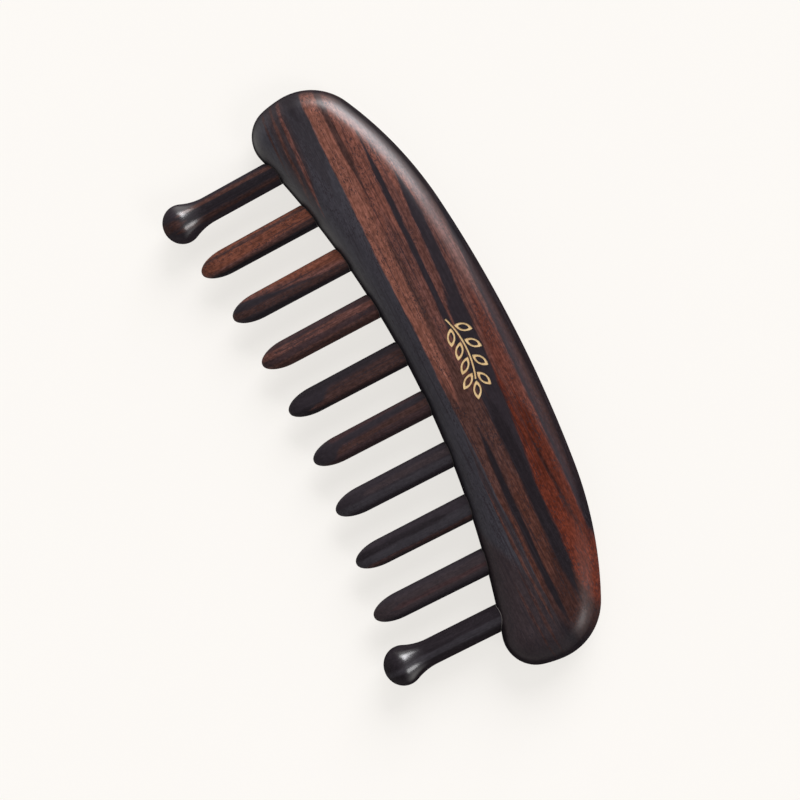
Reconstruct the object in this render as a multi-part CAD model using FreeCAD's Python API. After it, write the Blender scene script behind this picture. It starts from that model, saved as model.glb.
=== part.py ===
"""Wide tooth comb of turned and carved hardwood, built as its separate glued pieces.

The comb lies flat on its back face. +X runs along the comb, +Y points from the teeth to the spine,
+Z is the front face's side. The origin is the middle of the whole comb's footprint, at the back face.
All lengths are in millimetres and all angles in degrees.
"""
import FreeCAD, Part
import math
import os

# Overall: spine to the ends of the two ball teeth
COMB_WIDTH = 69.7

# Back: the crescent that the hand holds
BACK_THICKNESS = 12.0
BACK_HEIGHT = 28.5
ROUNDOVER_WIDTH = 8.0
TOOTH_EDGE_RADIUS = 240.0
END_SIDE_RADIUS = 32.0
LOBE_RADIUS = 8.5
# Tangent arcs from the middle of the spine to the comb's end: radius and turn of each
SPINE_ARCS = ((340.0, 6.3), (102.0, 19.8), (15.8, 67.5))

# Teeth
TOOTH_COUNT = 10
TOOTH_PITCH = 14.15
TOOTH_ROOT_WIDTH = 6.9
TOOTH_SHANK_WIDTH = 6.65
TOOTH_THICKNESS = 5.4
TOOTH_SECTION_POWER = 3.0
NOSE_LENGTH = 7.7
TIP_ARC_RADIUS = 290.0
TIP_DROP = 61.6

# The two end teeth, turned round with a ball end
BALL_SHANK_RADIUS = 3.43
BALL_RADIUS = 5.2
BALL_END_LENGTH = 4.9
BALL_FLARE_RADIUS = 16.0

# Joint of each tooth: a round tenon glued into a blind socket in the back
TENON_RADIUS = 2.5
TENON_LENGTH = 9.5
GLUE_SHOULDER = 0.2
GLUE_SLEEVE = 0.08
GLUE_SOCKET_END = 0.3
# How far a tenon or socket starts inside the wood that it is joined to or cut from
PEG_LEAD = 1.0

# Leaf sprig: engraved in the front face and filled with gold
ENGRAVING_DEPTH = 0.5
GOLD_THICKNESS = 0.4
SPRIG_X = 2.0
SPRIG_DROP = 12.4
SPRIG_LENGTH = 22.0
SPRIG_RISE = 1.5
STROKE_WIDTH = 0.45
LEAF_LENGTH = 4.8
LEAF_WIDTH = 2.1
LEAF_ANGLE = 38.0
LEAF_PAIRS = 4
# Place of the first pair, as a share of the spacing between pairs
FIRST_PAIR = 0.6
LEAF_GAP = 0.35

SECTION_POINTS = 24
NOSE_SECTIONS = 7

UP = FreeCAD.Vector(0, 0, 1)
ACROSS = FreeCAD.Vector(1, 0, 0)
TOWARDS_TIP = FreeCAD.Vector(0, -1, 0)
SPINE_Y = COMB_WIDTH / 2
MID_Z = BACK_THICKNESS / 2


def place(centre, radius, turn, z=MID_Z):
    """Point on a circle in a level plane, with the turn counted clockwise from +Y in radians."""
    x = centre[0] + radius * math.sin(turn)
    y = centre[1] + radius * math.cos(turn)
    return FreeCAD.Vector(x, y, z)


def circle_crossing(centre_a, radius_a, centre_b, radius_b):
    """The crossing of two circles that has the larger X."""
    dx = centre_b[0] - centre_a[0]
    dy = centre_b[1] - centre_a[1]
    distance = math.hypot(dx, dy)
    along = (radius_a**2 - radius_b**2 + distance**2) / (2 * distance)
    aside = math.sqrt(radius_a**2 - along**2)
    crossings = []
    for side in (-1, 1):
        x = centre_a[0] + (along * dx + side * aside * dy) / distance
        y = centre_a[1] + (along * dy - side * aside * dx) / distance
        crossings.append((x, y))
    return max(crossings)


def back_arcs():
    """The back's outline as tangent arcs: (centre, radius, first turn, last turn, hollow)."""
    tooth_edge_centre = (0.0, SPINE_Y - BACK_HEIGHT - TOOTH_EDGE_RADIUS)
    arcs = []
    radius, turned = SPINE_ARCS[0]
    centre = (0.0, SPINE_Y - radius)
    start = math.radians(turned)
    for next_radius, turned in SPINE_ARCS[1:]:
        joint = place(centre, radius - next_radius, start)
        centre, radius = (joint.x, joint.y), next_radius
        end = start + math.radians(turned)
        arcs.append((centre, radius, start, end, False))
        start = end
    joint = place(centre, radius - END_SIDE_RADIUS, start)
    side_centre = (joint.x, joint.y)
    lobe_centre = circle_crossing(
        side_centre, END_SIDE_RADIUS - LOBE_RADIUS, tooth_edge_centre, TOOTH_EDGE_RADIUS + LOBE_RADIUS
    )
    side_end = math.atan2(lobe_centre[0] - side_centre[0], lobe_centre[1] - side_centre[1])
    edge_end = math.atan2(lobe_centre[0], lobe_centre[1] - tooth_edge_centre[1])
    arcs.append((side_centre, END_SIDE_RADIUS, start, side_end, False))
    arcs.append((lobe_centre, LOBE_RADIUS, side_end, math.pi + edge_end, False))
    mirrored = []
    for centre, radius, first, last, hollow in arcs:
        mirrored.append(((-centre[0], centre[1]), radius, -last, -first, hollow))
    crown = math.radians(SPINE_ARCS[0][1])
    top = ((0.0, SPINE_Y - SPINE_ARCS[0][0]), SPINE_ARCS[0][0], -crown, crown, False)
    bottom = (tooth_edge_centre, TOOTH_EDGE_RADIUS, -edge_end, edge_end, True)
    return [top] + arcs + [bottom] + mirrored[::-1]


def rim_face(centre, radius, first, last, hollow):
    """Rounded rim along one arc of the outline: a half ellipse turned about the arc's centre."""
    inner = radius + ROUNDOVER_WIDTH if hollow else radius - ROUNDOVER_WIDTH
    middle = place(centre, inner, first)
    ellipse = Part.Ellipse(place(centre, radius, first), middle + UP * MID_Z, middle)
    profile = Part.ArcOfEllipse(ellipse, -math.pi / 2, math.pi / 2).toShape()
    return profile.revolve(FreeCAD.Vector(*centre, 0), -UP, math.degrees(last - first))


def land_face(arcs, z):
    """Flat part of the front or the back face, inside the rounded rim."""
    edges = []
    for centre, radius, first, last, hollow in arcs:
        inner = radius + ROUNDOVER_WIDTH if hollow else radius - ROUNDOVER_WIDTH
        ends = [place(centre, inner, turn, z) for turn in (first, (first + last) / 2, last)]
        edges.append(Part.Arc(*ends).toShape())
    return Part.Face(Part.Wire(Part.__sortEdges__(edges)))


def back_blank():
    """The back before its sockets and engraving."""
    arcs = back_arcs()
    faces = [rim_face(*arc) for arc in arcs]
    faces.append(land_face(arcs, 0.0))
    faces.append(land_face(arcs, BACK_THICKNESS))
    shell = Part.Compound(faces)
    shell.sewShape()
    solid = Part.Solid(shell.Shells[0])
    if solid.Volume < 0:
        solid.reverse()
    return solid


def tooth_x(index):
    """Place of a tooth's axis along the comb."""
    return (index - (TOOTH_COUNT - 1) / 2) * TOOTH_PITCH


def root_y(x):
    """Height of the back's tooth edge at a place along the comb."""
    centre_y = SPINE_Y - BACK_HEIGHT - TOOTH_EDGE_RADIUS
    return centre_y + math.sqrt(TOOTH_EDGE_RADIUS**2 - x**2)


def tip_y(x):
    """Height of a plain tooth's tip, on the arc that all their tips lie on."""
    return SPINE_Y - TIP_DROP - TIP_ARC_RADIUS + math.sqrt(TIP_ARC_RADIUS**2 - x**2)


def tooth_section(x, y, width, thickness):
    """Rounded section across a plain tooth, flatter on its front and back than an ellipse."""
    points = []
    for step in range(SECTION_POINTS):
        angle = 2 * math.pi * step / SECTION_POINTS
        side = abs(2 * math.cos(angle) / width) ** TOOTH_SECTION_POWER
        face = abs(2 * math.sin(angle) / thickness) ** TOOTH_SECTION_POWER
        reach = (side + face) ** (-1 / TOOTH_SECTION_POWER)
        points.append(FreeCAD.Vector(x + reach * math.cos(angle), y, MID_Z + reach * math.sin(angle)))
    curve = Part.BSplineCurve()
    curve.interpolate(points, PeriodicFlag=True)
    return Part.Wire(curve.toShape())


def plain_tooth(x):
    """Straight tooth with a long rounded nose, running up past the tooth edge."""
    tip = tip_y(x)
    nose_top = tip + NOSE_LENGTH
    top = root_y(x) + ROUNDOVER_WIDTH / 2
    shank = Part.makeLoft(
        [
            tooth_section(x, top, TOOTH_ROOT_WIDTH, TOOTH_THICKNESS),
            tooth_section(x, nose_top, TOOTH_SHANK_WIDTH, TOOTH_THICKNESS),
        ],
        True,
    )
    profiles = []
    for step in range(NOSE_SECTIONS):
        angle = math.pi / 2 * step / NOSE_SECTIONS
        scale = math.cos(angle)
        y = nose_top - NOSE_LENGTH * math.sin(angle)
        profiles.append(tooth_section(x, y, TOOTH_SHANK_WIDTH * scale, TOOTH_THICKNESS * scale))
    profiles.append(Part.Vertex(x, tip, MID_Z))
    nose = Part.makeLoft(profiles, True)
    return shank.fuse(nose)


def ball_tooth(x):
    """Turned tooth: a round shank that flares into a slightly flattened ball."""
    end_y = -COMB_WIDTH / 2
    ball_y = end_y + BALL_END_LENGTH
    top = root_y(x) + ROUNDOVER_WIDTH / 2
    shank, flare = BALL_SHANK_RADIUS, BALL_FLARE_RADIUS
    flare_rise = math.sqrt((BALL_RADIUS + flare) ** 2 - (shank + flare) ** 2)
    share = BALL_RADIUS / (BALL_RADIUS + flare)
    flare_turn = math.atan2(flare_rise, shank + flare)

    def at(radius, y):
        return FreeCAD.Vector(x + radius, y, MID_Z)

    flare_centre = (shank + flare, ball_y + flare_rise)
    half_turn = flare_turn / 2
    end_arc = Part.ArcOfEllipse(
        Part.Ellipse(at(BALL_RADIUS, ball_y), at(0, end_y), at(0, ball_y)), 0, math.pi / 2
    )
    ball_arc = Part.Arc(
        at(BALL_RADIUS, ball_y),
        at(BALL_RADIUS * math.cos(half_turn), ball_y + BALL_RADIUS * math.sin(half_turn)),
        at(share * (shank + flare), ball_y + share * flare_rise),
    )
    flare_arc = Part.Arc(
        at(share * (shank + flare), ball_y + share * flare_rise),
        at(flare_centre[0] - flare * math.cos(half_turn), flare_centre[1] - flare * math.sin(half_turn)),
        at(shank, flare_centre[1]),
    )
    edges = [
        end_arc.toBSpline().toShape(),
        ball_arc.toShape(),
        flare_arc.toShape(),
        Part.makeLine(at(shank, flare_centre[1]), at(shank, top)),
        Part.makeLine(at(shank, top), at(0, top)),
        Part.makeLine(at(0, top), at(0, end_y)),
    ]
    half_profile = Part.Face(Part.Wire(Part.__sortEdges__(edges)))
    return half_profile.revolve(at(0, 0), TOWARDS_TIP, 360)


def peg(x, radius, depth):
    """Round peg along a tooth's axis, from inside the tooth to a depth past the back's tooth edge."""
    start = FreeCAD.Vector(x, root_y(x) - GLUE_SHOULDER - PEG_LEAD, MID_Z)
    return Part.makeCylinder(radius, depth + GLUE_SHOULDER + PEG_LEAD, start, -TOWARDS_TIP)


def lens(base, heading, length, width):
    """Pointed shape between two equal arcs, as a flat face that starts at its base point."""
    along = FreeCAD.Vector(math.cos(heading), math.sin(heading), 0)
    aside = FreeCAD.Vector(-math.sin(heading), math.cos(heading), 0)
    tip = base + along * length
    belly = base + along * (length / 2)
    left = Part.Arc(base, belly + aside * (width / 2), tip).toShape()
    right = Part.Arc(tip, belly - aside * (width / 2), base).toShape()
    return Part.Face(Part.Wire([left, right]))


def leaf(base, heading):
    """Leaf drawn as one line of the stroke's width round its edge."""
    inner_width = LEAF_WIDTH - 2 * STROKE_WIDTH
    inner_length = LEAF_LENGTH * inner_width / LEAF_WIDTH
    inset = (LEAF_LENGTH - inner_length) / 2
    inner_base = base + FreeCAD.Vector(inset * math.cos(heading), inset * math.sin(heading), 0)
    outer = lens(base, heading, LEAF_LENGTH, LEAF_WIDTH)
    return outer.cut(lens(inner_base, heading, inner_length, inner_width)).Faces[0]


def sprig_faces():
    """Plain leaf sprig: a bowed stem, pairs of leaves along it and one leaf at its end."""
    floor = BACK_THICKNESS - ENGRAVING_DEPTH
    middle = FreeCAD.Vector(SPRIG_X, SPINE_Y - SPRIG_DROP, floor)
    stem_length = SPRIG_LENGTH - LEAF_LENGTH - LEAF_GAP
    bow_radius = (stem_length**2 / 4 + SPRIG_RISE**2) / (2 * SPRIG_RISE)
    half_bow = math.asin(stem_length / 2 / bow_radius)
    stem_start_x = -SPRIG_LENGTH / 2
    bow_centre = middle + FreeCAD.Vector(stem_start_x + stem_length / 2, -bow_radius, 0)

    def on_bow(share, offset=0.0):
        turn = half_bow * (2 * share - 1)
        reach = bow_radius + offset
        return bow_centre + FreeCAD.Vector(reach * math.sin(turn), reach * math.cos(turn), 0)

    half = STROKE_WIDTH / 2
    stem_edges = [
        Part.Arc(on_bow(0, half), on_bow(0.5, half), on_bow(1, half)).toShape(),
        Part.makeLine(on_bow(1, half), on_bow(1, -half)),
        Part.Arc(on_bow(1, -half), on_bow(0.5, -half), on_bow(0, -half)).toShape(),
        Part.makeLine(on_bow(0, -half), on_bow(0, half)),
    ]
    faces = [Part.Face(Part.Wire(stem_edges))]
    for pair in range(LEAF_PAIRS):
        share = (pair + FIRST_PAIR) / LEAF_PAIRS
        heading = -half_bow * (2 * share - 1)
        for side in (-1, 1):
            base = on_bow(share, side * (half + LEAF_GAP))
            faces.append(leaf(base, heading + side * math.radians(LEAF_ANGLE)))
    faces.append(leaf(on_bow(1) + ACROSS * LEAF_GAP, -half_bow))
    return faces


def write(name, shape):
    """Save one node's solids."""
    shape.exportStep(os.path.join("parts", name + ".step"))


def main():
    os.makedirs("parts", exist_ok=True)
    blank = back_blank()
    lowered = blank.copy()
    lowered.translate(TOWARDS_TIP * GLUE_SHOULDER)
    sprig = sprig_faces()
    back = blank.cut([face.extrude(UP * (2 * ENGRAVING_DEPTH)) for face in sprig])
    sockets = []
    glue = []
    for index in range(TOOTH_COUNT):
        x = tooth_x(index)
        is_end_tooth = index in (0, TOOTH_COUNT - 1)
        stick = ball_tooth(x) if is_end_tooth else plain_tooth(x)
        socket = peg(x, TENON_RADIUS + GLUE_SLEEVE, TENON_LENGTH + GLUE_SOCKET_END)
        tenon = peg(x, TENON_RADIUS, TENON_LENGTH)
        sockets.append(socket)
        tooth = stick.cut(lowered).fuse(tenon).removeSplitter()
        collar = stick.common(lowered).cut(blank)
        sleeve = socket.common(blank)
        glue.append(collar.fuse(sleeve).cut(tenon).removeSplitter())
        write(f"{'ball' if is_end_tooth else 'plain'}_tooth_{index + 1}", tooth)
    write("back", back.cut(sockets))
    write("tooth_glue", Part.Compound(glue))
    write("gold_sprig", Part.Compound([face.extrude(UP * GOLD_THICKNESS) for face in sprig]))


main()
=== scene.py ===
"""Wide tooth comb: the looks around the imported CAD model. Shapes are worked out in millimetres in the CAD's own
frame, then scaled to metres where a mesh is made."""
import math

import bmesh
import bpy
from mathutils import Matrix, Vector


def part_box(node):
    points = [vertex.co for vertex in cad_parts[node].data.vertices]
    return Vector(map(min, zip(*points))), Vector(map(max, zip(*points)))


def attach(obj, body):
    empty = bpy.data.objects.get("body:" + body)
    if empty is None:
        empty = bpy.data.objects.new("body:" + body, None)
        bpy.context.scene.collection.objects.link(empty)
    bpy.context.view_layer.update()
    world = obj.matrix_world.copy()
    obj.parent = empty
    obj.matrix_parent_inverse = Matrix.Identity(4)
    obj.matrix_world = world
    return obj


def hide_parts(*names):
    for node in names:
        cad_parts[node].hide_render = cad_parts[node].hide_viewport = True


MM = 0.001

# The back's shape, as the CAD model has it
ROUNDOVER_WIDTH = 8.0
BACK_HEIGHT = 28.5
TOOTH_EDGE_RADIUS = 240.0
END_SIDE_RADIUS = 32.0
LOBE_RADIUS = 8.5
SPINE_ARCS = ((340.0, 6.3), (102.0, 19.8), (15.8, 67.5))
OUTLINE_STEP = 0.8
RIM_STEPS = 30
SHARP_ANGLE = 35.0

# Teeth
TOOTH_SHANK_WIDTH = 6.65
TOOTH_SECTION_POWER = 3.0
NOSE_LENGTH = 7.7
BALL_SHANK_RADIUS = 3.43
BALL_END_LENGTH = 4.9
BALL_FLARE_RADIUS = 16.0
TENON_RADIUS = 2.5
TENON_LENGTH = 9.5
GLUE_SHOULDER = 0.2
GLUE_SLEEVE = 0.08
GLUE_SOCKET_END = 0.3
GLUE_INSET = 0.06
SOCKET_OVERRUN = 1.0
SHOULDER_CHAMFER = 0.06
TENON_CHAMFER = 0.4
TOOTH_COLUMNS = 64
SHANK_ROWS = 40
NOSE_ROWS = 18
BALL_ROWS = 9

# Leaf sprig on the front
ENGRAVING_DEPTH = 0.5
GOLD_THICKNESS = 0.4
SPRIG_X = 2.0
SPRIG_DROP = 12.4
SPRIG_LENGTH = 22.0
SPRIG_RISE = 1.5
STROKE_WIDTH = 0.45
LEAF_LENGTH = 4.8
LEAF_WIDTH = 2.1
LEAF_ANGLE = 38.0
LEAF_PAIRS = 4
FIRST_LEAF_SHARE = 0.6
LEAF_GAP = 0.35
ARC_STEPS = 16

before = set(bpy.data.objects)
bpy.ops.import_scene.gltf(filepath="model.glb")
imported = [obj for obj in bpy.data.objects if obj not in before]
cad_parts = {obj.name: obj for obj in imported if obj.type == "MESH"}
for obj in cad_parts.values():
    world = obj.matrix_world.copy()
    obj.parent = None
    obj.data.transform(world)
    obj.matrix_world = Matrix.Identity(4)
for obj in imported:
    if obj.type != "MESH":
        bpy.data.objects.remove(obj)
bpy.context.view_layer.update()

_, BACK_HIGH = (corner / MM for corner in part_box("back"))
SPINE_Y = BACK_HIGH.y
THICKNESS = BACK_HIGH.z
MID_Z = THICKNESS / 2
EDGE_CENTRE_Y = SPINE_Y - BACK_HEIGHT - TOOTH_EDGE_RADIUS


# Meshes ---------------------------------------------------------------------------------------------------------

def make_object(name, points, faces):
    """Mesh object from points in millimetres, with its normals facing out."""
    mesh = bpy.data.meshes.new(name)
    mesh.from_pydata([Vector(point) * MM for point in points], [], faces)
    edit = bmesh.new()
    edit.from_mesh(mesh)
    bmesh.ops.recalc_face_normals(edit, faces=edit.faces)
    edit.to_mesh(mesh)
    edit.free()
    piece = bpy.data.objects.new(name, mesh)
    bpy.context.scene.collection.objects.link(piece)
    smooth(piece)
    return piece


def smooth(piece):
    """Smooth shading, except across edges that turn more than SHARP_ANGLE."""
    mesh = piece.data
    mesh.polygons.foreach_set("use_smooth", [True] * len(mesh.polygons))
    mesh.set_sharp_from_angle(angle=math.radians(SHARP_ANGLE))
    mesh.update()


def bridge(first, second):
    """Quads between two equal rings of point numbers."""
    count = len(first)
    return [(first[k], first[(k + 1) % count], second[(k + 1) % count], second[k]) for k in range(count)]


class Rings:
    """Collects rings of points and the faces between them, for one or more closed solids."""

    def __init__(self):
        self.points = []
        self.faces = []

    def ring(self, points):
        """Add points and give their numbers."""
        start = len(self.points)
        self.points.extend(points)
        return list(range(start, len(self.points)))

    def tube(self, rings):
        """Quads from each ring to the next."""
        for first, second in zip(rings, rings[1:]):
            self.faces.extend(bridge(first, second))

    def cone(self, ring, point):
        """Triangles from a ring to one point."""
        tip = len(self.points)
        self.points.append(point)
        self.faces.extend((ring[k], ring[(k + 1) % len(ring)], tip) for k in range(len(ring)))

    def cap(self, ring):
        """One flat face over a ring."""
        self.faces.append(tuple(ring))


def cut_away(piece, cutter):
    """Cut one mesh out of another and delete the cutter."""
    modifier = piece.modifiers.new("cut", "BOOLEAN")
    modifier.operation = "DIFFERENCE"
    modifier.solver = "EXACT"
    modifier.object = cutter
    graph = bpy.context.evaluated_depsgraph_get()
    result = bpy.data.meshes.new_from_object(piece.evaluated_get(graph))
    piece.modifiers.clear()
    old = piece.data
    piece.data = result
    result.name = piece.name
    bpy.data.meshes.remove(old)
    bpy.data.objects.remove(cutter, do_unlink=True)


# The back -------------------------------------------------------------------------------------------------------

def on_circle(centre, radius, turn):
    """Point on a circle, with the turn counted clockwise from +Y."""
    return centre[0] + radius * math.sin(turn), centre[1] + radius * math.cos(turn)


def circle_crossing(centre_a, radius_a, centre_b, radius_b):
    """The crossing of two circles that has the larger X."""
    dx = centre_b[0] - centre_a[0]
    dy = centre_b[1] - centre_a[1]
    distance = math.hypot(dx, dy)
    along = (radius_a**2 - radius_b**2 + distance**2) / (2 * distance)
    aside = math.sqrt(radius_a**2 - along**2)
    crossings = []
    for side in (-1, 1):
        x = centre_a[0] + (along * dx + side * aside * dy) / distance
        y = centre_a[1] + (along * dy - side * aside * dx) / distance
        crossings.append((x, y))
    return max(crossings)


def back_arcs():
    """The outline as tangent arcs: (centre, radius, first turn, last turn, whether it is hollow)."""
    edge_centre = (0.0, EDGE_CENTRE_Y)
    radius, crown = SPINE_ARCS[0]
    crown = math.radians(crown)
    centre = (0.0, SPINE_Y - radius)
    arcs = []
    start = crown
    for next_radius, turned in SPINE_ARCS[1:]:
        centre = on_circle(centre, radius - next_radius, start)
        radius = next_radius
        arcs.append((centre, radius, start, start + math.radians(turned), False))
        start += math.radians(turned)
    side = on_circle(centre, radius - END_SIDE_RADIUS, start)
    lobe = circle_crossing(side, END_SIDE_RADIUS - LOBE_RADIUS, edge_centre, TOOTH_EDGE_RADIUS + LOBE_RADIUS)
    side_end = math.atan2(lobe[0] - side[0], lobe[1] - side[1])
    edge_end = math.atan2(lobe[0], lobe[1] - edge_centre[1])
    arcs.append((side, END_SIDE_RADIUS, start, side_end, False))
    arcs.append((lobe, LOBE_RADIUS, side_end, math.pi + edge_end, False))
    mirrored = [((-c[0], c[1]), r, -last, -first, hollow) for c, r, first, last, hollow in arcs[::-1]]
    top = ((0.0, SPINE_Y - SPINE_ARCS[0][0]), SPINE_ARCS[0][0], -crown, crown, False)
    bottom = (edge_centre, TOOTH_EDGE_RADIUS, edge_end, -edge_end, True)
    return [top] + arcs + [bottom] + mirrored


def rim_ring(angle):
    """Points round the back at one angle of its rounded rim, from -90 degrees at the back face to 90 at the front."""
    inset = ROUNDOVER_WIDTH * (1 - math.cos(angle))
    z = MID_Z + MID_Z * math.sin(angle)
    points = []
    for centre, radius, first, last, hollow in back_arcs():
        steps = math.ceil(radius * abs(last - first) / OUTLINE_STEP)
        reach = radius + inset if hollow else radius - inset
        for step in range(steps):
            x, y = on_circle(centre, reach, first + (last - first) * step / steps)
            points.append((x, y, z))
    return points


def edge_y(x, z):
    """Height of the back's rounded tooth edge at a place along the comb and a height above the back face."""
    level = max(-1.0, min(1.0, (z - MID_Z) / MID_Z))
    inset = ROUNDOVER_WIDTH * (1 - math.sqrt(1 - level**2))
    return EDGE_CENTRE_Y + math.sqrt((TOOTH_EDGE_RADIUS + inset) ** 2 - x**2)


def prism(rings, outline, low, high):
    """Closed prism over an outline, which is one loop or an outer and an inner loop of equal counts."""
    lows = [rings.ring([(x, y, low) for x, y in loop]) for loop in outline]
    highs = [rings.ring([(x, y, high) for x, y in loop]) for loop in outline]
    for bottom, top in zip(lows, highs):
        rings.faces.extend(bridge(bottom, top))
    if len(outline) == 1:
        half = len(lows[0]) // 2
        for level in (lows[0], highs[0]):
            for k in range(half - 1):
                rings.faces.append((level[k], level[k + 1], level[-2 - k], level[-1 - k]))
    else:
        rings.faces.extend(bridge(lows[0], lows[1]))
        rings.faces.extend(bridge(highs[0], highs[1]))


def lens(base, heading, length, width):
    """Loop round a pointed shape between two equal arcs."""
    radius = (length**2 / 4 + width**2 / 4) / width
    half_turn = math.asin(length / 2 / radius)
    along = Vector((math.cos(heading), math.sin(heading)))
    aside = Vector((-math.sin(heading), math.cos(heading)))
    middle = Vector(base) + along * (length / 2)
    loop = []
    for side in (1, -1):
        for step in range(ARC_STEPS):
            turn = side * half_turn * (2 * step / ARC_STEPS - 1)
            bulge = side * (radius * math.cos(turn) - (radius - width / 2))
            loop.append(tuple(middle + along * (radius * math.sin(turn)) + aside * bulge))
    return loop


def sprig_outlines():
    """The sprig's strokes: a bowed stem, pairs of leaves along it and one at its end, each drawn in line."""
    middle = Vector((SPRIG_X, SPINE_Y - SPRIG_DROP))
    stem_length = SPRIG_LENGTH - LEAF_LENGTH - LEAF_GAP
    bow_radius = (stem_length**2 / 4 + SPRIG_RISE**2) / (2 * SPRIG_RISE)
    half_bow = math.asin(stem_length / 2 / bow_radius)
    bow_centre = middle + Vector((stem_length / 2 - SPRIG_LENGTH / 2, -bow_radius))

    def on_bow(share, offset=0.0):
        turn = half_bow * (2 * share - 1)
        reach = bow_radius + offset
        return bow_centre + Vector((reach * math.sin(turn), reach * math.cos(turn)))

    def leaf(base, heading):
        inner_width = LEAF_WIDTH - 2 * STROKE_WIDTH
        inner_length = LEAF_LENGTH * inner_width / LEAF_WIDTH
        inset = (LEAF_LENGTH - inner_length) / 2
        inner_base = Vector(base) + Vector((math.cos(heading), math.sin(heading))) * inset
        rim = lens(base, heading, LEAF_LENGTH, LEAF_WIDTH)
        return [rim, lens(inner_base, heading, inner_length, inner_width)]

    half = STROKE_WIDTH / 2
    count = 2 * ARC_STEPS
    upper = [tuple(on_bow(step / count, half)) for step in range(count + 1)]
    lower = [tuple(on_bow(step / count, -half)) for step in range(count + 1)]
    outlines = [[upper + lower[::-1]]]
    for pair in range(LEAF_PAIRS):
        share = (pair + FIRST_LEAF_SHARE) / LEAF_PAIRS
        heading = -half_bow * (2 * share - 1)
        for side in (-1, 1):
            base = on_bow(share, side * (half + LEAF_GAP))
            outlines.append(leaf(base, heading + side * math.radians(LEAF_ANGLE)))
    outlines.append(leaf(on_bow(1) + Vector((LEAF_GAP, 0)), -half_bow))
    return outlines


def tooth_axis(node):
    """Place of a tooth's axis along the comb, from its CAD node."""
    low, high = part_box(node)
    return (low.x + high.x) / 2 / MM


def column_turns():
    """Angles of the points round a tooth."""
    return [2 * math.pi * step / TOOTH_COLUMNS for step in range(TOOTH_COLUMNS)]


def round_section(x, radius):
    """Round section of a tooth, as (x, z) places."""
    return [(x + radius * math.cos(turn), MID_Z + radius * math.sin(turn)) for turn in column_turns()]


def circle(x, y, radius):
    """Ring across a tooth, square to its axis."""
    return [(px, y, pz) for px, pz in round_section(x, radius)]


def build_back(teeth):
    """The back with its rounded rim, its sockets and the engraving for the sprig."""
    body = Rings()
    levels = [rim_ring(math.radians(-90 + 180 * step / RIM_STEPS)) for step in range(RIM_STEPS + 1)]
    levels = [body.ring(level) for level in levels]
    body.tube(levels)
    body.cap(levels[0])
    body.cap(levels[-1])
    back = make_object("back_wood", body.points, body.faces)
    sockets = Rings()
    for node in teeth:
        x = tooth_axis(node)
        root = edge_y(x, MID_Z)
        radius = TENON_RADIUS + GLUE_SLEEVE
        depths = (root - SOCKET_OVERRUN, root + TENON_LENGTH + GLUE_SOCKET_END)
        ends = [sockets.ring(circle(x, y, radius)) for y in depths]
        sockets.tube(ends)
        sockets.cap(ends[0])
        sockets.cap(ends[1])
    cut_away(back, make_object("socket_cutter", sockets.points, sockets.faces))
    strokes = Rings()
    for outline in sprig_outlines():
        prism(strokes, outline, THICKNESS - ENGRAVING_DEPTH, THICKNESS + ENGRAVING_DEPTH)
    cut_away(back, make_object("sprig_cutter", strokes.points, strokes.faces))
    smooth(back)
    return back


def build_gold():
    """The gold fill, a little below the face."""
    fill = Rings()
    floor = THICKNESS - ENGRAVING_DEPTH
    for outline in sprig_outlines():
        prism(fill, outline, floor, floor + GOLD_THICKNESS)
    return make_object("gold_fill", fill.points, fill.faces)


# Teeth ----------------------------------------------------------------------------------------------------------

def shoulder_y(x, z):
    """Height of a tooth's coped shoulder, one glue line short of the back."""
    return edge_y(x, z) - GLUE_SHOULDER


def finish_root(stick, x, last, outline):
    """Coped shoulder with a small chamfer, then the tenon. outline gives the section as (x, z) places at an inset."""
    inset = outline(SHOULDER_CHAMFER)
    rim = [(px, shoulder_y(px, pz), pz) for px, pz in inset]
    rows = [last, stick.ring(rim)]
    neck = round_section(x, TENON_RADIUS)
    for share in (0.5, 1.0):
        row = []
        for (px, pz), (nx, nz) in zip(inset, neck):
            mx, mz = px + (nx - px) * share, pz + (nz - pz) * share
            row.append((mx, shoulder_y(mx, mz), mz))
        rows.append(stick.ring(row))
    end = edge_y(x, MID_Z) + TENON_LENGTH
    rows.append(stick.ring(circle(x, end - TENON_CHAMFER, TENON_RADIUS)))
    rows.append(stick.ring(circle(x, end, TENON_RADIUS - TENON_CHAMFER)))
    stick.tube(rows)
    stick.cone(rows[-1], (x, end, MID_Z))


def section_reach(turn, width, thickness):
    """Distance from a plain tooth's axis to its surface: flatter on its faces than an ellipse."""
    side = abs(2 * math.cos(turn) / width) ** TOOTH_SECTION_POWER
    face = abs(2 * math.sin(turn) / thickness) ** TOOTH_SECTION_POWER
    return (side + face) ** (-1 / TOOTH_SECTION_POWER)


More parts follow.
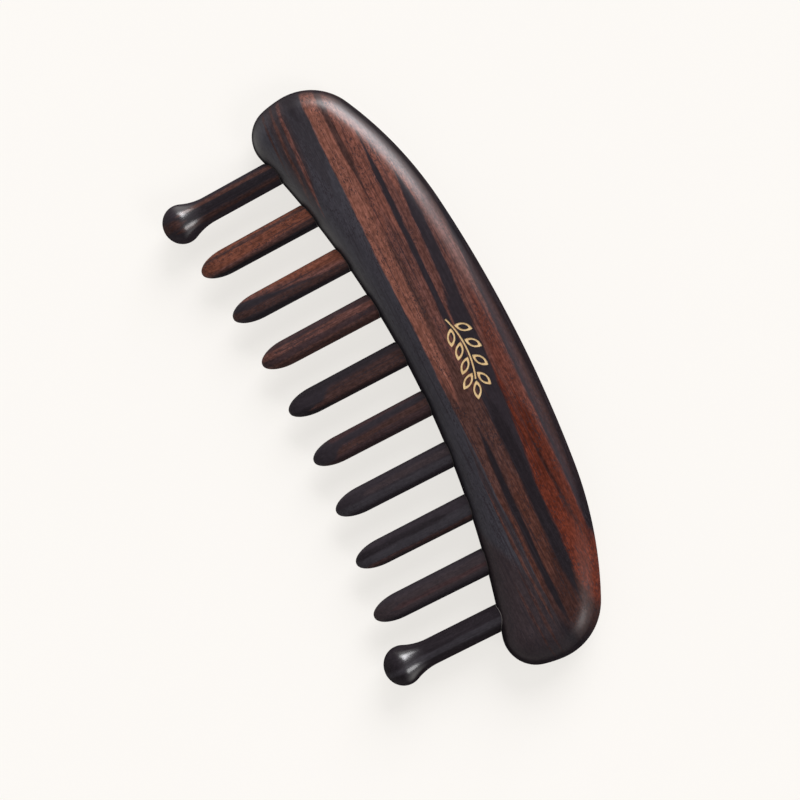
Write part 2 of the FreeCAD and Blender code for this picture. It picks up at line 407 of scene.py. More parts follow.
def build_plain_tooth(node):
    """Straight tooth with a long rounded nose and a flattened section."""
    low, high = (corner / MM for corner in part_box(node))
    x = tooth_axis(node)
    root_width = high.x - low.x
    thickness = high.z - low.z
    nose_top = low.y + NOSE_LENGTH
    turns = column_turns()

    def section(width, thick, inset=0.0):
        reaches = [section_reach(turn, width, thick) - inset for turn in turns]
        return [(x + r * math.cos(t), MID_Z + r * math.sin(t)) for r, t in zip(reaches, turns)]

    stick = Rings()
    rows = []
    for step in range(1, NOSE_ROWS + 1):
        angle = math.pi / 2 * step / NOSE_ROWS
        scale = math.sin(angle)
        y = nose_top - NOSE_LENGTH * math.cos(angle)
        loop = section(TOOTH_SHANK_WIDTH * scale, thickness * scale)
        rows.append(stick.ring([(px, y, pz) for px, pz in loop]))
    stick.cone(rows[0], (x, low.y, MID_Z))
    root_loop = section(root_width, thickness)
    for step in range(1, SHANK_ROWS + 1):
        share = step / SHANK_ROWS
        loop = section(TOOTH_SHANK_WIDTH + (root_width - TOOTH_SHANK_WIDTH) * share, thickness)
        row = []
        for (px, pz), (rx, rz) in zip(loop, root_loop):
            top = shoulder_y(rx, rz) - SHOULDER_CHAMFER
            row.append((px, nose_top + (top - nose_top) * share, pz))
        rows.append(stick.ring(row))
    stick.tube(rows)
    finish_root(stick, x, rows[-1], lambda inset: section(root_width, thickness, inset))
    return make_object(node + "_wood", stick.points, stick.faces)


def build_ball_tooth(node):
    """Turned tooth: a slightly flattened ball, a hollow flare and a round shank."""
    low, high = (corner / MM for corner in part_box(node))
    x = tooth_axis(node)
    ball_radius = (high.x - low.x) / 2
    ball_y = low.y + BALL_END_LENGTH
    shank, flare = BALL_SHANK_RADIUS, BALL_FLARE_RADIUS
    flare_rise = math.sqrt((ball_radius + flare) ** 2 - (shank + flare) ** 2)
    flare_turn = math.atan2(flare_rise, shank + flare)
    profile = []
    for step in range(1, NOSE_ROWS + 1):
        angle = math.pi / 2 * step / NOSE_ROWS
        profile.append((ball_radius * math.sin(angle), ball_y - BALL_END_LENGTH * math.cos(angle)))
    for step in range(1, BALL_ROWS + 1):
        angle = flare_turn * step / BALL_ROWS
        profile.append((ball_radius * math.cos(angle), ball_y + ball_radius * math.sin(angle)))
    for step in range(1, NOSE_ROWS + 1):
        angle = flare_turn * (1 - step / NOSE_ROWS)
        profile.append((shank + flare - flare * math.cos(angle), ball_y + flare_rise - flare * math.sin(angle)))
    stick = Rings()
    rows = [stick.ring(circle(x, y, radius)) for radius, y in profile]
    stick.cone(rows[0], (x, low.y, MID_Z))
    start = profile[-1][1]
    for step in range(1, SHANK_ROWS + 1):
        share = step / SHANK_ROWS
        row = []
        for px, pz in round_section(x, shank):
            top = shoulder_y(px, pz) - SHOULDER_CHAMFER
            row.append((px, start + (top - start) * share, pz))
        rows.append(stick.ring(row))
    stick.tube(rows)
    finish_root(stick, x, rows[-1], lambda inset: round_section(x, shank - inset))
    return make_object(node + "_wood", stick.points, stick.faces)


def build_glue(teeth):
    """The glue line at each root, with the film round each tenon, as one closed cup a tooth."""
    glue = Rings()
    for node in teeth:
        low, high = (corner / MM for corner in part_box(node))
        x = tooth_axis(node)
        root = edge_y(x, MID_Z)
        inset = SHOULDER_CHAMFER + GLUE_INSET
        outer = []
        for turn in column_turns():
            reach = BALL_SHANK_RADIUS
            if node.startswith("plain"):
                reach = section_reach(turn, high.x - low.x, high.z - low.z)
            outer.append((x + (reach - inset) * math.cos(turn), MID_Z + (reach - inset) * math.sin(turn)))
        wide = round_section(x, TENON_RADIUS + GLUE_SLEEVE)
        narrow = round_section(x, TENON_RADIUS)
        tenon_end = root + TENON_LENGTH
        end = tenon_end + GLUE_SOCKET_END
        rows = [
            glue.ring([(px, shoulder_y(px, pz), pz) for px, pz in outer]),
            glue.ring([(px, edge_y(px, pz), pz) for px, pz in outer]),
            glue.ring([(px, edge_y(px, pz), pz) for px, pz in wide]),
            glue.ring([(px, end, pz) for px, pz in wide]),
        ]
        glue.tube(rows)
        glue.cone(rows[-1], (x, end, MID_Z))
        inner = [
            glue.ring([(px, shoulder_y(px, pz), pz) for px, pz in narrow]),
            glue.ring([(px, tenon_end, pz) for px, pz in narrow]),
        ]
        glue.faces.extend(bridge(rows[0], inner[0]))
        glue.tube(inner)
        glue.cone(inner[-1], (x, tenon_end, MID_Z))
    return make_object("glue_lines", glue.points, glue.faces)


# Materials ------------------------------------------------------------------------------------------------------

def srgb(red, green, blue):
    """Linear colour from the usual 0 to 255 values, by the sRGB standard's curve."""
    linear = []
    for value in (red, green, blue):
        share = value / 255
        linear.append(share / 12.92 if share <= 0.04045 else ((share + 0.055) / 1.055) ** 2.4)
    return (*linear, 1.0)


class Shader:
    """A material's node tree, with short calls for the nodes that the materials here share. place is the point on the
    comb in millimetres, and x, y and z are its parts."""

    def __init__(self, name):
        self.material = bpy.data.materials.new(name)
        self.material.use_nodes = True
        self.tree = self.material.node_tree
        self.bsdf = self.tree.nodes["Principled BSDF"]
        coords = self.node("ShaderNodeTexCoord")
        self.place = self.vector("SCALE", coords.outputs["Object"], scale=1 / MM)
        self.x, self.y, self.z = self.node("ShaderNodeSeparateXYZ", {0: self.place}).outputs

    def feed(self, socket, value):
        """Set an input to a constant, or link it to another node's output."""
        if isinstance(value, bpy.types.NodeSocket):
            self.tree.links.new(value, socket)
        else:
            socket.default_value = value

    def node(self, kind, inputs=None, **settings):
        made = self.tree.nodes.new(kind)
        for key, value in settings.items():
            setattr(made, key, value)
        for key, value in (inputs or {}).items():
            self.feed(made.inputs[key], value)
        return made

    def math(self, operation, first, second=0.0, third=None):
        inputs = {0: first, 1: second}
        if third is not None:
            inputs[2] = third
        return self.node("ShaderNodeMath", inputs, operation=operation).outputs[0]

    def product(self, first, *others):
        for other in others:
            first = self.math("MULTIPLY", first, other)
        return first

    def vector(self, operation, first, second=None, scale=None):
        inputs = {0: first}
        if second is not None:
            inputs[1] = second
        if scale is not None:
            inputs["Scale"] = scale
        return self.node("ShaderNodeVectorMath", inputs, operation=operation).outputs["Vector"]

    def stretched(self, sizes, offset=(0.0, 0.0, 0.0)):
        """The place in millimetres, divided by a grain size along each axis."""
        shares = tuple(1 / size for size in sizes)
        return self.vector("ADD", self.vector("MULTIPLY", self.place, shares), offset)

    def noise(self, sizes, offset=(0.0, 0.0, 0.0), detail=2.0, roughness=0.5):
        """Noise from 0 to 1, with the size of its features along each axis in millimetres."""
        inputs = {"Vector": self.stretched(sizes, offset), "Scale": 1.0, "Detail": detail, "Roughness": roughness}
        return self.node("ShaderNodeTexNoise", inputs).outputs["Fac"]

    def spread(self, value, low, high, to_low=0.0, to_high=1.0, smooth=True):
        """Map a range of a value to another range, without leaving it."""
        inputs = {"Value": value, "From Min": low, "From Max": high, "To Min": to_low, "To Max": to_high}
        kind = "SMOOTHSTEP" if smooth else "LINEAR"
        return self.node("ShaderNodeMapRange", inputs, interpolation_type=kind, clamp=True).outputs["Result"]

    def mix(self, share, first, second):
        """Blend from one colour to another; inputs 6 and 7 and output 2 are the node's colour sockets."""
        return self.node("ShaderNodeMix", {0: share, 6: first, 7: second}, data_type="RGBA").outputs[2]

    def set(self, **inputs):
        """Set the main shader's own inputs."""
        for name, value in inputs.items():
            self.feed(self.bsdf.inputs[name.replace("_", " ")], value)

    def bump(self, height, distance_mm):
        inputs = {"Height": height, "Distance": distance_mm * MM, "Strength": 1.0}
        normal = self.node("ShaderNodeBump", inputs).outputs["Normal"]
        self.set(Normal=normal, Coat_Normal=normal)


# How the studio light shows on the flat front: the gain on a base colour, and the haze that the gloss adds. Wood is
# never darker than the third number.
LIGHT_GAIN = 1.02
GLOSS_HAZE = 0.002
DARKEST_WOOD = 0.002


def seen(red, green, blue):
    """Base colour of wood that looks like this colour on the flat front under the studio light."""
    linear = srgb(red, green, blue)[:3]
    return (*(max(DARKEST_WOOD, (value - GLOSS_HAZE) / LIGHT_GAIN) for value in linear), 1.0)


PITCH = seen(27, 25, 28)
JET = seen(38, 34, 37)
BLACK = seen(47, 42, 46)
INK = seen(55, 52, 56)
# Dark grey wood with a painted bluish sheen on it
SLATE_WITH_PAINTED_SHEEN = seen(61, 59, 64)
SMOKE = seen(57, 49, 51)
COCOA = seen(60, 45, 46)
UMBER = seen(66, 47, 44)
SIENNA = seen(78, 50, 43)
CLOVE = seen(62, 41, 37)
BROWN = seen(77, 53, 48)
CHESTNUT = seen(95, 63, 57)
RUSSET = seen(112, 71, 61)
ORANGE = seen(122, 79, 67)
RED = seen(92, 45, 34)
DEEP_RED = seen(82, 40, 30)
TAWNY = seen(105, 63, 50)
RUST = seen(91, 53, 45)
MAHOGANY = seen(58, 34, 30)

# Stripes of the back, painted in turn over the first colour. Each is (colour, X where it starts, X where it ends,
# depth below the spine at its start, middle and end, width, softness of its edges, length of its pointed ends).
BACK_STRIPES = (
    (RED, -6, 130, 6.8, 7.0, 8.0, 13.0, 2.5, 30),
    (CHESTNUT, -62, 36, 4.6, 5.2, 6.4, 4.2, 1.2, 30),
    (RUST, -24, 60, 4.6, 5.8, 7.4, 3.0, 1.6, 26),
    (DEEP_RED, 6, 66, 6.8, 7.2, 8.4, 2.6, 1.4, 24),
    (CHESTNUT, -48, 40, 15.6, 16.2, 17.0, 4.6, 1.0, 26),
    (CHESTNUT, -60, 8, 10.8, 11.1, 11.4, 1.6, 0.8, 22),
    (BROWN, -10, 130, 17.6, 17.8, 17.9, 5.8, 0.9, 26),
    (SIENNA, 24, 140, 17.0, 17.8, 18.6, 6.0, 1.4, 26),
    (CLOVE, 44, 150, 16.4, 18.2, 20.0, 7.0, 2.4, 30),
    (ORANGE, -130, 16, 19.8, 20.1, 20.9, 3.4, 0.6, 28),
    (BROWN, -6, 130, 21.8, 21.9, 21.6, 2.7, 0.7, 30),
    (SIENNA, 26, 120, 22.0, 22.0, 21.8, 1.6, 0.9, 26),
    (UMBER, 50, 140, 22.0, 21.8, 21.6, 2.4, 1.0, 30),
    (BLACK, -64, 84, -2.6, -1.5, 3.4, 10.0, 0.8, 12),
    (COCOA, -44, 84, -2.4, -1.6, 3.2, 9.0, 1.2, 24),
    (UMBER, -60, 70, -3.5, -2.9, 1.0, 9.0, 0.8, 12),
    (BLACK, -56, 38, 8.4, 9.2, 13.4, 2.3, 0.7, 22),
    (BLACK, -24, 48, 10.8, 11.6, 13.9, 2.4, 1.0, 22),
    (BLACK, -68, 40, 12.2, 13.4, 14.8, 1.1, 0.5, 22),
    (JET, 6, 74, 13.2, 14.1, 15.7, 2.2, 1.0, 18),
    (UMBER, -120, -34, 18.2, 17.4, 17.1, 0.9, 0.6, 26),
    (BROWN, -46, 30, 17.9, 18.0, 19.2, 0.8, 0.8, 22),
    # Painted reflection: the bluish sheen along the tooth edge, over dark wood
    (SLATE_WITH_PAINTED_SHEEN, -130, 130, 31.5, 32.7, 33.2, 20.0, 0.5, 1),
    (JET, 12, 80, 18.3, 20.4, 20.6, 1.0, 0.7, 18),
    (JET, 54, 140, 26.5, 28.0, 30.0, 10.0, 4.0, 24),
    (MAHOGANY, 20, 62, 8.3, 8.1, 8.4, 0.5, 0.4, 18),
    (INK, -130, -44, 23.9, 24.3, 24.6, 4.4, 1.2, 24),
    (JET, -130, -66, 23.6, 24.0, 24.6, 3.2, 2.6, 16),
    (SMOKE, 34, 130, 31.4, 31.4, 30.2, 14.0, 2.4, 30),
    (SMOKE, 12, 81, 22.9, 23.6, 22.7, 0.6, 0.35, 20),
    (BROWN, 22, 80, 23.8, 24.45, 23.6, 0.45, 0.35, 22),
    (UMBER, 46, 90, 26.4, 26.0, 25.6, 0.4, 0.3, 18),
    (UMBER, 52, 90, 28.7, 28.3, 28.0, 0.4, 0.3, 16),
    (SMOKE, -120, -40, 28.0, 29.0, 31.2, 4.0, 1.2, 22),
    (CHESTNUT, -120, -38, 26.2, 27.8, 30.4, 0.6, 0.4, 22),
    (BROWN, -120, -40, 29.0, 30.0, 31.8, 0.4, 0.45, 22),
    (UMBER, -120, -50, 32.0, 32.4, 33.6, 0.3, 0.4, 18),
)

# Colours of the teeth from the left: each is (first colour, stripes). A stripe is (colour, offset across the tooth at
# the root, in the middle and at the tip, width, softness, share of the length where it starts and where it ends).
TOOTH_STRIPES = (
    (BLACK, (
        (JET, -0.1, 0.1, 0.3, 1.9, 0.8, -0.4, 0.95),
        (BROWN, -1.1, -1.1, -1.4, 0.5, 0.45, -0.4, 0.9),
        (UMBER, 2.3, 2.4, 2.7, 0.7, 0.6, -0.4, 0.95),
        (UMBER, 0.7, 0.5, 0.9, 1.6, 1.0, 0.72, 1.5),
    )),
    (TAWNY, (
        (BROWN, -2.1, -2.0, -1.4, 0.3, 0.5, -0.4, 1.2),
        (CHESTNUT, 1.5, 2.2, 2.6, 1.0, 0.9, -0.4, 1.3),
        (UMBER, 3.0, 4.0, 4.6, 3.4, 0.9, -0.4, 1.3),
        (JET, 3.7, 4.2, 4.6, 2.6, 0.6, -0.4, 1.4),
    )),
    (BLACK, (
        (CHESTNUT, -0.9, -3.7, -8.3, 7.4, 0.8, -0.6, 1.2),
        (TAWNY, 0.2, -2.6, -6.6, 2.2, 1.4, -0.6, 1.1),
        (UMBER, 2.2, 1.4, 0.0, 0.9, 1.0, -0.2, 1.2),
    )),
    (BROWN, (
        (CHESTNUT, -0.9, -0.8, -0.8, 0.7, 0.9, -0.4, 1.1),
        (COCOA, -2.6, -2.6, -2.4, 0.9, 0.8, -0.4, 1.3),
        (COCOA, 0.7, 0.9, 1.0, 0.9, 0.8, -0.4, 1.4),
    )),
    (JET, (
        (BLACK, -0.4, -0.2, 0.0, 1.6, 0.9, -0.4, 1.3),
        (UMBER, 0.3, 0.7, 1.5, 2.4, 1.7, -0.8, 0.75),
        (UMBER, 2.0, 2.1, 2.3, 0.7, 0.6, -0.4, 0.9),
    )),
    (COCOA, (
        (UMBER, -0.4, 0.2, 1.2, 0.7, 0.9, -0.4, 0.95),
        (BLACK, -2.0, -1.4, -0.9, 0.6, 0.8, -0.2, 1.2),
        (BLACK, -0.4, 0.0, 0.2, 4.0, 1.6, 0.7, 1.6),
    )),
    (BLACK, (
        (SMOKE, -0.9, -0.9, -0.6, 0.8, 0.7, -0.4, 0.8),
        (INK, 1.2, 1.3, 1.2, 1.0, 0.9, -0.4, 1.2),
    )),
    (BLACK, (
        (INK, 0.5, 0.6, 0.8, 1.6, 0.9, -0.4, 1.2),
        (JET, -0.9, -0.9, -0.6, 0.6, 0.8, 0.1, 1.2),
        (UMBER, 2.6, 2.6, 2.4, 0.5, 0.6, -0.2, 1.0),
    )),
    (BLACK, (
        (SMOKE, -0.2, 0.0, 0.1, 2.0, 1.8, -0.4, 1.2),
        (COCOA, 0.4, 0.5, 0.5, 0.5, 0.6, -0.4, 0.9),
    )),
    (JET, (
        (INK, 1.0, 1.1, 1.0, 0.8, 0.9, -0.2, 1.2),
    )),
)

# Fine grain of the wood. Each layer is (length and width of its features, offset, detail, roughness).
STREAKS = (38.0, 0.6, (0.0, 0.0, 0.0), 4.0, 0.6)
FIBRES = (4.0, 0.2, (3.1, 7.7, 1.3), 2.0, 0.5)
MOTTLE = (1.2, 0.65, (9.4, 2.2, 5.1), 3.0, 0.5)
VEINS = (26.0, 0.45, (1.7, 4.9, 6.3), 2.0, 0.5)
PORES = (0.6, 0.28, (5.5, 1.9, 8.8), 1.0, 0.5)
PORE_PATCHES = (9.0, 2.4, (2.7, 6.1, 4.4), 1.0, 0.5)
# The part of its range that a noise mostly keeps to
NOISE_SPAN = (0.3, 0.7)
# Darkest and lightest gain of the streaks, fibres and mottle on a colour
STREAK_GAIN = (0.84, 1.16)
FIBRE_GAIN = (0.8, 1.22)
MOTTLE_GAIN = (0.72, 1.28)
# How much of that gain shows on the grey wood and on the red wood, which is this much redder than it is blue
RED_WOOD = 0.04
GRAIN_SHARE = (0.4, 1.0)
VEIN_DARKNESS = 0.65
PORE_DARKNESS = 0.75
STREAK_ROUGHNESS = 0.03
PORE_ROUGHNESS = 0.2
FIBRE_HEIGHT = 0.4
PORE_DEPTH = 0.014

# Waves of the back's stripes: (size along X, Y and Z, offset, height)
BACK_WAVES = (
    ((40.0, 9.0, 20.0), (0, 0, 0), 0.9),
    ((13.0, 1.3, 4.0), (4, 1, 2), 0.7),
    ((4.5, 0.35, 0.8), (8, 3, 6), 0.75),
    ((1.2, 0.2, 0.4), (2, 5, 7), 0.3),
)
# How far the stripes of the back and of the teeth drift with depth under the front face
LAYER_LEAN = 0.02
TOOTH_LEAN = 0.2
# Length of the pointed ends of a tooth's stripe, as a share of the tooth's length
TOOTH_STRIPE_POINT = 0.15

# Lacquer: how rough it is, and its index of refraction
BACK_POLISH, BACK_COAT_IOR = 0.33, 1.54
BALL_POLISH, BALL_COAT_IOR, BALL_RELIEF = 0.24, 1.79, 0.1
PLAIN_POLISH, PLAIN_COAT_IOR = 0.45, 1.5


def bow(shader, share, start, middle, end):
    """A value that runs through three others as the share goes from 0 to 1, on a parabola."""
    bend = 2 * (start + end - 2 * middle)
    rise = end - start - bend
    inner = shader.math("MULTIPLY_ADD", share, bend, rise)
    return shader.math("MULTIPLY_ADD", inner, share, start)


def stripe(shader, colour, paint, place, along, ends, course, width, softness, point):
    """Paint one stripe over a colour, with soft edges and pointed ends."""
    first, last = ends
    share = shader.spread(along, first, last, smooth=False)
    centre = bow(shader, share, *course)
    rise = shader.spread(along, first, first + point)
    fall = shader.spread(along, last - point, last, 1.0, 0.0)
    half = shader.product(rise, fall, width / 2 + softness)
    inside = shader.math("SUBTRACT", half, shader.math("ABSOLUTE", shader.math("SUBTRACT", place, centre)))
    return shader.mix(shader.spread(inside, 0.0, softness), colour, paint)


def sway(shader, sizes, offset, height, detail=2.0):
    """Noise that wanders to either side of zero by up to about half a height."""
    noise = shader.noise(sizes, offset, detail)
    return shader.math("MULTIPLY_ADD", noise, height, -height / 2)


def grain(shader, colour, along, polish, gloss, coat_ior, relief=1.0):
    """Fine grain that every piece of this wood has: veins, streaks, fibres and short dark pores along the grain.
    along gives the axis that the grain follows, 0 for X and 1 for Y. polish is the roughness of its lacquer, gloss
    how much lacquer is left, which can vary from place to place, and relief how far its pores are felt."""

    def layer(length, width, offset, detail, roughness):
        sizes = [width] * 3
        sizes[along] = length
        return shader.noise(sizes, offset, detail, roughness)

    streaks = layer(*STREAKS)
    fibres = layer(*FIBRES)
    tone = shader.product(
        shader.spread(streaks, *NOISE_SPAN, *STREAK_GAIN),
        shader.spread(fibres, *NOISE_SPAN, *FIBRE_GAIN),
        shader.spread(layer(*MOTTLE), *NOISE_SPAN, *MOTTLE_GAIN),
    )
    parts = shader.node("ShaderNodeSeparateColor", {0: colour}).outputs
    warmth = shader.math("SUBTRACT", parts[0], parts[2])
    varied = shader.vector("SCALE", colour, scale=tone)
    colour = shader.mix(shader.spread(warmth, 0.0, RED_WOOD, *GRAIN_SHARE), colour, varied)
    colour = shader.mix(shader.spread(layer(*VEINS), 0.56, 0.69, 0.0, VEIN_DARKNESS), colour, BLACK)
    pore = shader.product(shader.spread(layer(*PORES), 0.55, 0.65), shader.spread(layer(*PORE_PATCHES), 0.36, 0.6))
    colour = shader.mix(shader.product(pore, PORE_DARKNESS), colour, BLACK)
    rough = shader.spread(streaks, *NOISE_SPAN, -STREAK_ROUGHNESS, STREAK_ROUGHNESS)
    rough = shader.math("ADD", rough, shader.product(pore, PORE_ROUGHNESS * relief))
    rough = shader.math("ADD", rough, polish)
    height = shader.math("SUBTRACT", shader.product(fibres, FIBRE_HEIGHT), pore)
    shader.set(Base_Color=colour, Roughness=rough, Specular_IOR_Level=0.0)
    shader.set(Coat_Weight=gloss, Coat_Roughness=polish, Coat_IOR=coat_ior)
    shader.bump(height, PORE_DEPTH * relief)


def back_wood():
    """Striped wood of the back. The stripes run along the comb, each placed by its depth below the spine. The rim and
    both ends are painted darker, as shade, and the lacquer is left only on the shoulders of the rim."""
    shader = Shader("striped_wood")
    x, y = shader.x, shader.y
    waves, *finer = (sway(shader, *wave) for wave in BACK_WAVES)
    for wave in finer:
        waves = shader.math("ADD", waves, wave)
    below = shader.math("SUBTRACT", THICKNESS, shader.z)
    sunk = shader.product(below, below, LAYER_LEAN)
    depth = shader.math("ADD", shader.math("SUBTRACT", SPINE_Y, y), shader.math("ADD", waves, sunk))
    colour = RUSSET
    for paint, first, last, start, middle, end, width, softness, point in BACK_STRIPES:
        course = (start, middle, end)
        colour = stripe(shader, colour, paint, depth, x, (first, last), course, width, softness, point)

    # Painted shade: darker towards the rim, least where the red wood reaches it, and darker at both ends
    layer = shader.math("ABSOLUTE", shader.math("SUBTRACT", shader.z, MID_Z))
    ragged = shader.math("ADD", layer, sway(shader, (22.0, 8.0, 1.6), (7, 2, 4), 1.2))
    left = shader.product(shader.spread(x, -55.0, -15.0, 1.0, 0.0), shader.spread(x, -76.0, -69.0))
    smoky = shader.product(left, shader.spread(ragged, 3.8, 5.4, 0.8, 0.0))
    colour = shader.mix(smoky, colour, BLACK)
    ruddy = shader.product(shader.spread(x, 50.0, 60.0), shader.spread(y, 15.0, 20.0))
    # Painted shade: a dark band round the rim, weak where the red wood reaches it
    dark = shader.product(shader.spread(ragged, 2.4, 4.4, 0.9, 0.0), shader.spread(ruddy, 0.0, 1.0, 1.0, 0.15))
    colour = shader.mix(dark, colour, PITCH)
    # Painted shade at the left end and at the right end
    colour = shader.mix(shader.spread(x, -78.0, -72.0, 0.4, 0.0), colour, BLACK)
    colour = shader.mix(shader.spread(x, 70.0, 78.0, 0.0, 0.5), colour, JET)

    # Lacquer: off the flat faces and the outer rim, fullest on the left and at the right shoulder
    lifted = shader.math("ADD", layer, shader.spread(x, -60.0, 20.0, 0.9, 0.0))
    shoulder = shader.product(shader.spread(x, 45.0, 64.0, 0.0, 0.8), shader.spread(y, 12.0, 17.0))
    gloss = shader.product(
        shader.spread(lifted, 3.0, 4.6, 0.036, 1.0),
        shader.spread(layer, 5.0, 5.92, 1.0, 0.08),
        shader.spread(x, -78.0, -72.0, 0.15, 1.0),
        shader.math("MAXIMUM", shader.spread(x, -50.0, 0.0, 1.0, 0.25), shoulder),
    )
    grain(shader, colour, 0, BACK_POLISH, gloss, BACK_COAT_IOR)
    return shader.material


def tooth_wood(name, node, base, stripes):
    """Wood of one tooth, with its stripes along the tooth. A plain tooth has painted shade on its sides, wider on the
    side towards +X; a ball tooth keeps its lacquer on the ball's shoulder and the flare."""
    shader = Shader(name)
    low, high = (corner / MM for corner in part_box(node))
    axis = tooth_axis(node)
    root = edge_y(axis, MID_Z)
    offset = shader.math("SUBTRACT", shader.x, axis)
    across = shader.math("ADD", offset, sway(shader, (1.2, 12.0, 3.0), (axis, 0, 0), 0.9, 3.0))
    across = shader.math("ADD", across, sway(shader, (0.3, 3.0, 0.6), (axis, 4, 0), 0.6))
    across = shader.math("MULTIPLY_ADD", shader.math("SUBTRACT", high.z, shader.z), TOOTH_LEAN, across)
    along = shader.math("DIVIDE", shader.math("SUBTRACT", root, shader.y), root - low.y)
    colour = base
    for paint, start, middle, end, width, softness, first, last in stripes:
        course = (start, middle, end)
        ends = (first, last)
        colour = stripe(shader, colour, paint, across, along, ends, course, width, softness, TOOTH_STRIPE_POINT)
    if node.startswith("ball"):
        layer = shader.math("ABSOLUTE", shader.math("SUBTRACT", shader.z, MID_Z))
        tip = shader.math("SUBTRACT", shader.y, low.y)
        gloss = shader.product(
            shader.spread(layer, 2.2, 3.4),
            shader.spread(along, 0.6, 0.75, 0.06, 1.0),
            shader.spread(tip, 4.6, 7.2, 0.04, 1.0),
        )
        grain(shader, colour, 1, BALL_POLISH, gloss, BALL_COAT_IOR, BALL_RELIEF)
    else:
        side = shader.math("ABSOLUTE", shader.math("ADD", offset, 0.35))
        # Painted shade on both sides of a plain tooth, wider on the side towards +X
        colour = shader.mix(shader.spread(side, 2.3, 3.2, 0.0, 0.45), colour, PITCH)
        grain(shader, colour, 1, PLAIN_POLISH, shader.spread(side, 2.0, 3.1, 0.16, 0.04), PLAIN_COAT_IOR)
    return shader.material


def glue_material():
    """Dried wood glue, darkened by use, and paler at the last tooth, where it is fresh."""
    shader = Shader("dried_glue")
    patches = shader.noise((1.2, 1.2, 1.2), detail=3.0)
    fresh = shader.spread(shader.x, 55.0, 62.0)
    colour = shader.mix(shader.spread(patches, 0.35, 0.65), srgb(24, 19, 18), srgb(46, 38, 34))
    colour = shader.mix(fresh, colour, srgb(100, 94, 91))
    shader.set(Base_Color=colour, Roughness=0.6)
    shader.bump(patches, 0.03)
    return shader.material


def gold_material():
    """Soft gold paint with a fine grainy surface."""
    shader = Shader("gold_paint")
    specks = shader.noise((0.12, 0.12, 0.12), detail=2.0)
    patches = shader.noise((1.5, 1.5, 1.5), (3, 5, 7))
    colour = shader.mix(shader.spread(specks, 0.35, 0.65), srgb(222, 180, 120), srgb(252, 226, 174))
    colour = shader.mix(shader.spread(patches, 0.35, 0.7, 0.0, 0.35), colour, srgb(200, 152, 94))
    shader.set(Base_Color=colour, Roughness=shader.spread(specks, *NOISE_SPAN, 0.42, 0.6), Metallic=0.25)
    shader.bump(specks, 0.02)
    return shader.material


# Stage, light and camera ----------------------------------------------------------------------------------------

FLOOR_REACH = 4000
FLOOR_COLOURS = ((0.22, 0.214, 0.204, 1), (0.23, 0.224, 0.214, 1))
FLOOR_GLOW = (1.0, 0.974, 0.932, 1)
FLOOR_GLOW_STRENGTH = 0.745

# Colours of the studio round the comb, each with the height where it stands: 0 is the horizon and 1 straight above
SKY = (
    (0.0, (0.96, 0.935, 0.90, 1)),
    (0.2, (0.8, 0.78, 0.76, 1)),
    (0.34, (0.42, 0.41, 0.43, 1)),
    (0.9, (0.22, 0.22, 0.23, 1)),
)

# Lamps: name, side of the comb from +X, angle from straight above, width in degrees, strength, colour
LAMPS = (
    ("key_light", 130.0, 62.0, 38.0, 3.5, (0.98, 0.97, 1.0)),
    ("end_light", 159.0, 60.0, 20.0, 0.4, (1.0, 1.0, 1.0)),
    ("side_light", 33.0, 50.0, 22.0, 0.6, (1.0, 1.0, 1.0)),
)

# Camera: the place it looks at and its distance in millimetres, its tilts about X and Y and its roll in degrees
CAMERA_TARGET = (3.24, 0.4)
CAMERA_DISTANCE = 520.0
CAMERA_TILTS = (9.6, -4.52)
CAMERA_ROLL = 62.34
SENSOR_WIDTH = 36.0
FOCAL_LENGTH = 91.9
CLIP_START = 0.01


def build_stage():
    """Plain pale floor, level with the comb's back face."""
    floor = Rings()
    corners = ((-1, -1), (1, -1), (1, 1), (-1, 1))
    floor.cap(floor.ring([(FLOOR_REACH * x, FLOOR_REACH * y, 0) for x, y in corners]))
    table = make_object("floor", floor.points, floor.faces)
    shader = Shader("pale_floor")
    soft = shader.noise((60.0, 60.0, 60.0))
    shader.set(Base_Color=shader.mix(soft, *FLOOR_COLOURS), Roughness=0.9, Specular_IOR_Level=0.1)
    shader.set(Emission_Color=FLOOR_GLOW, Emission_Strength=FLOOR_GLOW_STRENGTH)
    table.data.materials.append(shader.material)


def add_lamp(name, azimuth, zenith, width, strength, colour):
    """Large soft lamp far away, as a row of LAMPS gives it."""
    data = bpy.data.lights.new(name, "SUN")
    data.energy = strength
    data.angle = math.radians(width)
    data.color = colour
    lamp = bpy.data.objects.new(name, data)
    bpy.context.scene.collection.objects.link(lamp)
    azimuth, zenith = math.radians(azimuth), math.radians(zenith)
    aim = Vector((math.cos(azimuth) * math.sin(zenith), math.sin(azimuth) * math.sin(zenith), math.cos(zenith)))
    lamp.rotation_euler = aim.to_track_quat("Z", "Y").to_euler()
    lamp.location = aim


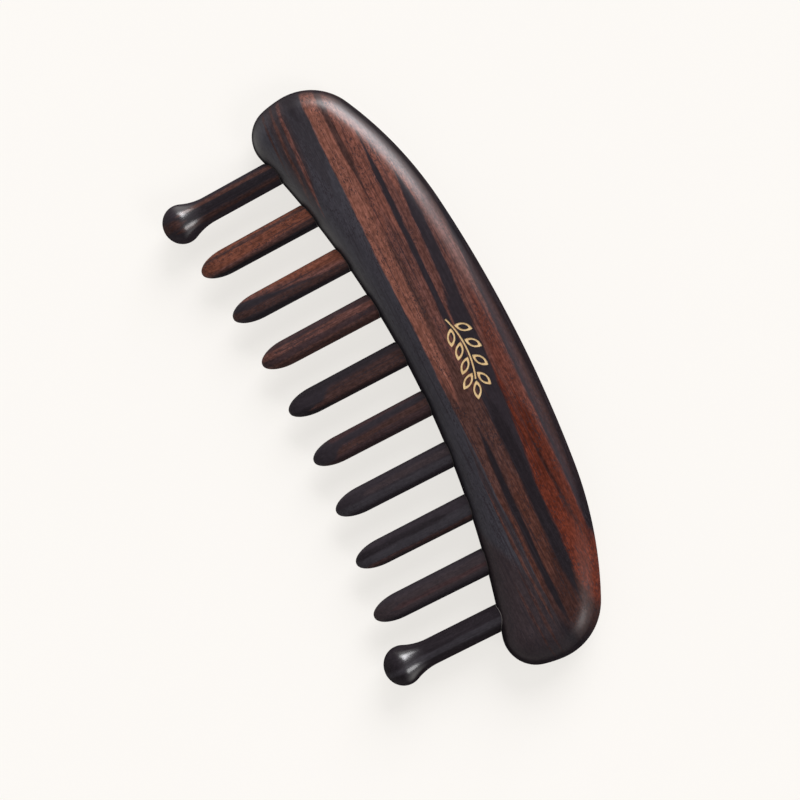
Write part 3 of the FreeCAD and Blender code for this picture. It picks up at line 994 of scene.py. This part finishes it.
def build_world():
    """Pale studio: bright at the horizon and darker overhead."""
    world = bpy.data.worlds.new("studio")
    bpy.context.scene.world = world
    world.use_nodes = True
    tree = world.node_tree
    background = tree.nodes["Background"]
    coords = tree.nodes.new("ShaderNodeTexCoord")
    split = tree.nodes.new("ShaderNodeSeparateXYZ")
    ramp = tree.nodes.new("ShaderNodeValToRGB")
    tree.links.new(coords.outputs["Generated"], split.inputs[0])
    tree.links.new(split.outputs["Z"], ramp.inputs[0])
    tree.links.new(ramp.outputs["Color"], background.inputs["Color"])
    stops = ramp.color_ramp.elements
    stops[0].position, stops[1].position = SKY[0][0], SKY[-1][0]
    stops[0].color, stops[1].color = SKY[0][1], SKY[-1][1]
    for height, colour in SKY[1:-1]:
        stops.new(height).color = colour
    background.inputs["Strength"].default_value = 1.0


def build_camera():
    """Camera almost straight above, turned so that the comb slants across the picture."""
    data = bpy.data.cameras.new("camera")
    data.sensor_width = SENSOR_WIDTH
    data.lens = FOCAL_LENGTH
    data.clip_start = CLIP_START
    camera = bpy.data.objects.new("camera", data)
    bpy.context.scene.collection.objects.link(camera)
    bpy.context.scene.camera = camera
    target = Vector((*CAMERA_TARGET, MID_Z)) * MM
    about_x, about_y, about_z = (
        Matrix.Rotation(math.radians(angle), 3, axis) for angle, axis in zip((*CAMERA_TILTS, CAMERA_ROLL), "XYZ")
    )
    turn = (about_x @ about_y).transposed() @ about_z
    place = target + turn @ Vector((0, 0, CAMERA_DISTANCE * MM))
    camera.matrix_world = Matrix.Translation(place) @ turn.to_4x4()


def main():
    """Build every piece, hide the CAD node it replaces, hang it on the root body, and add the stage, the lights and
    the camera.
    """
    teeth = sorted((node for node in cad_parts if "_tooth_" in node), key=tooth_axis)
    pieces = [(build_back(teeth), ["back"], "back_wood", back_wood())]
    for number, (node, (base, stripes)) in enumerate(zip(teeth, TOOTH_STRIPES), 1):
        build = build_ball_tooth if node.startswith("ball") else build_plain_tooth
        material = tooth_wood(f"tooth_wood_{number}", node, base, stripes)
        pieces.append((build(node), [node], "tooth_wood", material))
    pieces.append((build_glue(teeth), ["tooth_glue"], "glue", glue_material()))
    pieces.append((build_gold(), ["gold_sprig"], "gold", gold_material()))
    for piece, nodes, slot, material in pieces:
        piece.data.materials.append(material)
        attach(piece, "root")
        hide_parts(*nodes)
    build_stage()
    build_world()
    for lamp in LAMPS:
        add_lamp(*lamp)
    build_camera()
    bpy.context.scene.view_settings.view_transform = "Standard"


main()
